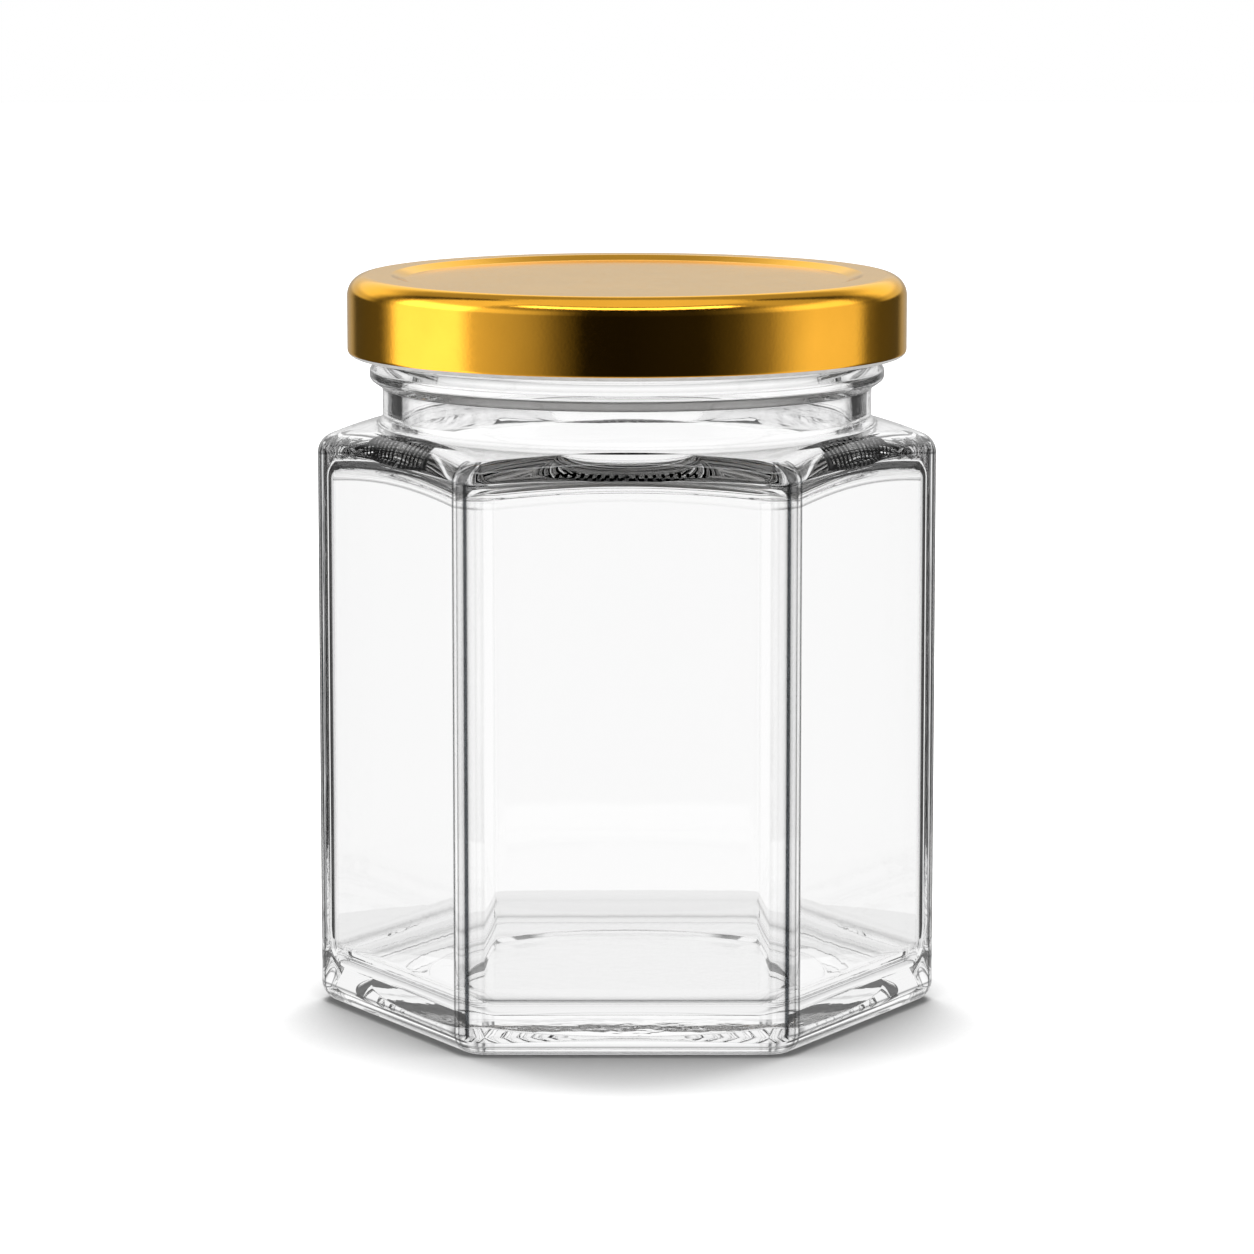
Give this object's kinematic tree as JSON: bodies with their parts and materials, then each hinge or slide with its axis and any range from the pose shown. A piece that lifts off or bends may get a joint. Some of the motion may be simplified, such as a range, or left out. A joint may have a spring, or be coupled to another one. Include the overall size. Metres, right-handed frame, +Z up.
{
  "type": "hexagonal glass jar",
  "caption": "Empty hexagonal jar of clear glass with rounded corners, a sloping shoulder and a ringed neck, closed by a gold twist-off cap with a recessed top.",
  "frame": {"origin": "middle of the underside, on the surface the jar stands on", "axes": "+Z up along the axis of the jar and cap, +X towards an upright corner of the hexagon, so that a flat face looks along -Y"},
  "size_m": [0.0732, 0.066, 0.0873],
  "materials": {
    "clear_glass": "clear flint glass, fire-polished",
    "gold_lacquer": "glossy gold lacquer over tinplate",
    "sealing_compound": "satin, soft compound"
  },
  "bodies": {
    "root": {"glass_jar": "clear_glass", "lid": "gold_lacquer", "sealing_ring": "sealing_compound"}
  },
  "joints": []
}
